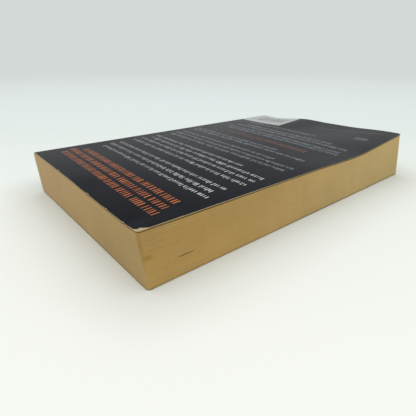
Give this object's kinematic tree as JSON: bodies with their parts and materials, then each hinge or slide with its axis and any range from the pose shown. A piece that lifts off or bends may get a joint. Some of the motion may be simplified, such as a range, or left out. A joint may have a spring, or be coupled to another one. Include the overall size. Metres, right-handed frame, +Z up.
{
  "type": "paperback book",
  "caption": "Closed paperback book lying on its front cover: trimmed block of aged leaves glued into a dark card cover whose two boards open, tail corner curled up.",
  "frame": {"origin": "centre of the footprint, on the surface the book lies on", "axes": "+X from the spine to the fore edge, +Y from the head to the tail along the spine, +Z up through the back cover"},
  "size_m": [0.1134, 0.178, 0.0245],
  "materials": {
    "aged_paper": "uncoated bulky book paper, browned with age at its trimmed edges",
    "binding_glue": "hot-melt binding glue, cream",
    "cover_card": "card printed black and laminated, semi-gloss, cream inside"
  },
  "bodies": {
    "book": {"page_block": "aged_paper", "binding_glue": "binding_glue", "cover_spine": "cover_card"},
    "back_cover": {"back_cover": "cover_card"},
    "front_cover": {"front_cover": "cover_card"}
  },
  "joints": [
    {"name": "back_cover_opens", "type": "hinge", "parent": "book", "child": "back_cover", "pos_m": [-0.05126, 0, 0.02133], "axis": [0, -1, 0], "range_deg": [0, 180]},
    {"name": "front_cover_opens", "type": "hinge", "parent": "book", "child": "front_cover", "pos_m": [-0.04726, 0, -0.0001], "axis": [0, 1, 0], "range_deg": [0, 180]}
  ]
}
